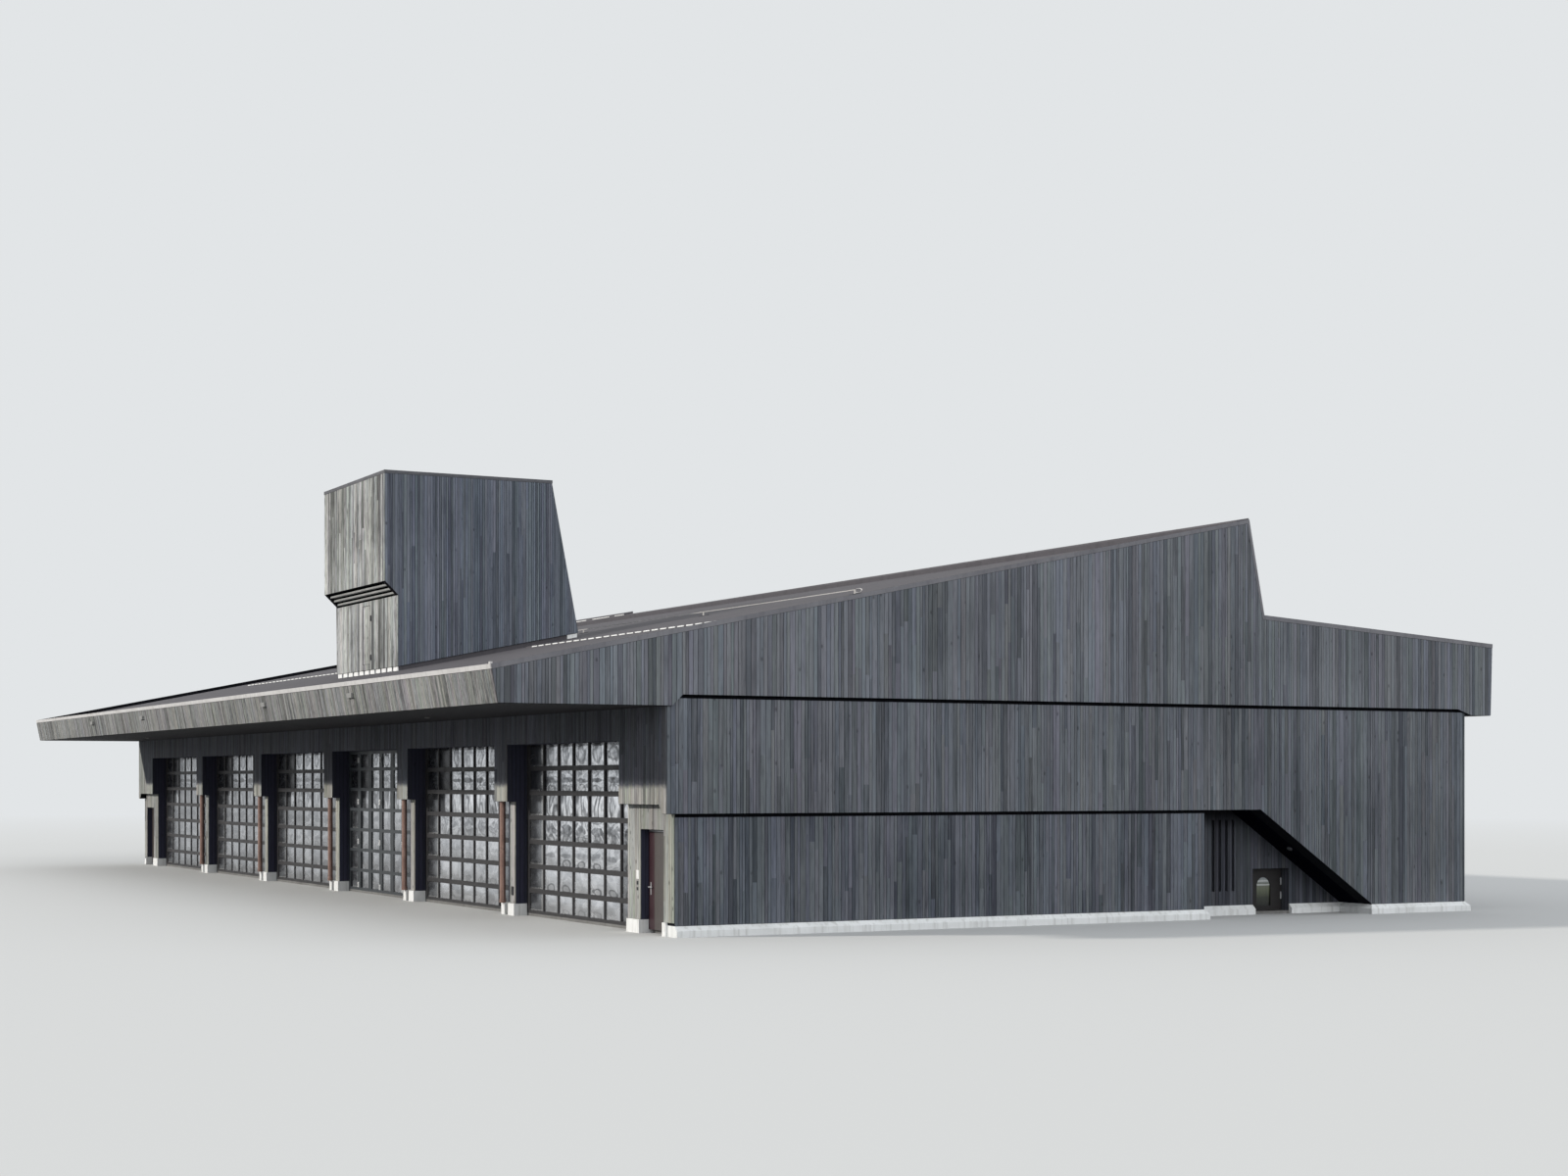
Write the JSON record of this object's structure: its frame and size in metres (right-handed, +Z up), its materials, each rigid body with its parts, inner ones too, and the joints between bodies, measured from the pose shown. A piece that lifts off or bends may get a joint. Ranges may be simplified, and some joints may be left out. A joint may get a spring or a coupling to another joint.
{
  "type": "fire station building",
  "caption": "Timber-clad fire station hall with vehicle bays under a deep canopy, a leaning ridge roof, a hose tower and an entrance niche.",
  "frame": {"origin": "middle of the hall plan at yard level, on the underside of the floor slab", "axes": "+X from the vehicle doors to the rear, +Y along the front from the near gable to the far gable, +Z up"},
  "size_m": [24.83, 39.715, 10.55],
  "materials": {
    "concrete": "fair-faced concrete",
    "dark_trim": "folded sheet, grey",
    "door_frame": "satin dark paint",
    "door_glass": "clear",
    "entry_leaf": "satin dark red-brown paint",
    "handle": "brushed",
    "lamp": "satin pale grey",
    "lining": "dark board lining",
    "low_boards": "vertical boards, stained dark grey",
    "middle_boards": "vertical boards, stained dark grey",
    "pipe": "copper-brown",
    "roof_skin": "matt roofing sheet",
    "top_boards": "vertical boards, stained dark grey",
    "trim_metal": "folded sheet",
    "white_metal": "satin white"
  },
  "bodies": {
    "building": {"base_blocks": "concrete", "bay_door_1": "door_frame", "bay_door_2": "door_frame", "bay_door_3": "door_frame", "bay_door_4": "door_frame", "bay_door_5": "door_frame", "bay_door_6": "door_frame", "bay_glass": "door_glass", "door_plate": "white_metal", "downpipes": "pipe", "eaves_trims": "trim_metal", "entry_heads": "low_boards", "entry_sides": "low_boards", "far_gable_low": "low_boards", "far_gable_middle": "middle_boards", "far_gable_top": "top_boards", "far_plinth": "concrete", "floor_slab": "concrete", "fold_hinges": "white_metal", "front_header": "middle_boards", "low_roof": "roof_skin", "lower_piers": "low_boards", "main_roof": "roof_skin", "near_gable_low": "low_boards", "near_gable_middle": "middle_boards", "near_gable_top": "top_boards", "near_plinth": "concrete", "niche_back_head": "middle_boards", "niche_back_sides": "middle_boards", "niche_plinth": "concrete", "niche_return": "lining", "niche_soffit": "lining", "outdoor_lamps": "lamp", "rear_plinth": "concrete", "rear_wall": "low_boards", "ridge_cap": "trim_metal", "ridge_vent": "dark_trim", "ridge_wall": "roof_skin", "roof_fascias": "top_boards", "roof_rails": "roof_skin", "roof_soffits": "lining", "slit_glass": "door_glass", "tower_back": "top_boards", "tower_fronts": "top_boards", "tower_hatch": "top_boards", "tower_kerb": "roof_skin", "tower_louvre": "top_boards", "tower_plates": "white_metal", "tower_roof": "dark_trim", "tower_sides": "top_boards", "upper_piers": "middle_boards", "verge_trims": "dark_trim", "wall_hatch": "door_frame"},
    "near_entry_leaf": {"near_entry_door": "entry_leaf", "near_entry_handle": "handle"},
    "far_entry_leaf": {"far_entry_door": "entry_leaf", "far_entry_handle": "handle"},
    "niche_leaf": {"niche_door": "door_frame", "niche_door_glass": "door_glass"}
  },
  "joints": [
    {"name": "near_entry_hinge", "type": "hinge", "parent": "building", "child": "near_entry_leaf", "pos_m": [-9.84, -19.29, 0.07], "axis": [0, 0, 1], "range_deg": [0, 90]},
    {"name": "far_entry_hinge", "type": "hinge", "parent": "building", "child": "far_entry_leaf", "pos_m": [-9.84, 19.38, 0.07], "axis": [0, 0, -1], "range_deg": [0, 90]},
    {"name": "niche_door_hinge", "type": "hinge", "parent": "building", "child": "niche_leaf", "pos_m": [5.89, -18.61, 0.07], "axis": [0, 0, 1], "range_deg": [0, 90]}
  ]
}
